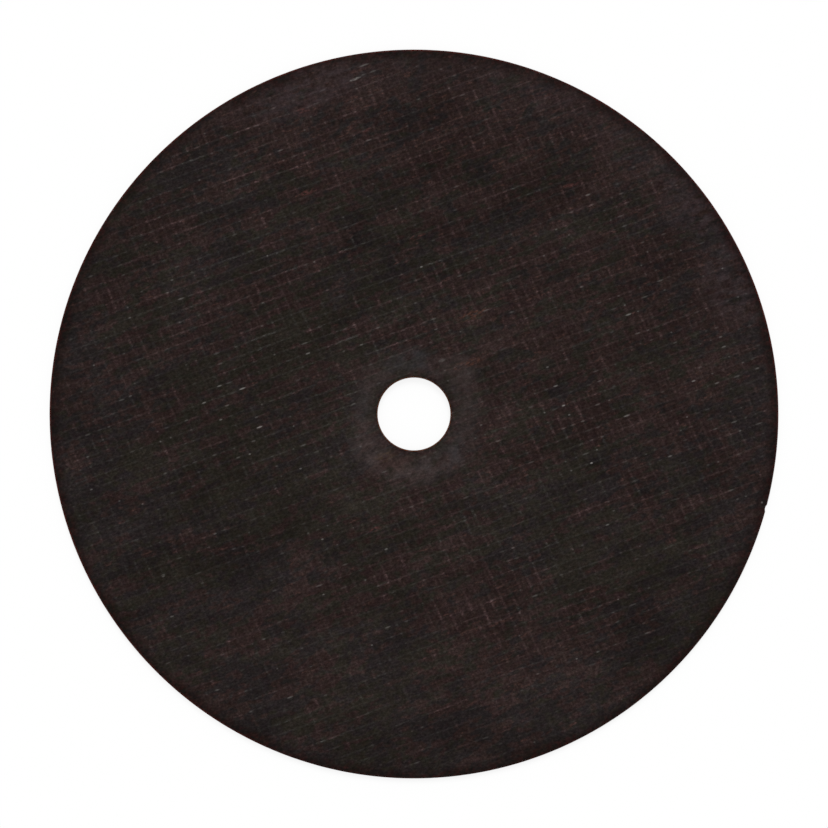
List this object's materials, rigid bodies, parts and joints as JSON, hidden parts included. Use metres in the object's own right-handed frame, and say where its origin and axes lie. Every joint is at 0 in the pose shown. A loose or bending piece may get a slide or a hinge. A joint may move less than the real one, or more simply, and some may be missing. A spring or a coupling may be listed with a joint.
{
  "type": "cut-off wheel",
  "caption": "Thin flat abrasive disc with a woven glass-cloth relief, a plain rim band and a smooth flange ring round its arbor hole; spins on a saw to cut metal.",
  "frame": {"origin": "centre of the arbor hole on the plane of the back flange seat, which the wheel lies on", "axes": "+Z along the arbor hole, out of the front face; +X and +Y in the plane of the wheel"},
  "size_m": [0.254, 0.254, 0.0024],
  "materials": {
    "bonded_abrasive": "matte"
  },
  "bodies": {
    "root": {"cut_off_wheel": "bonded_abrasive"}
  },
  "joints": []
}
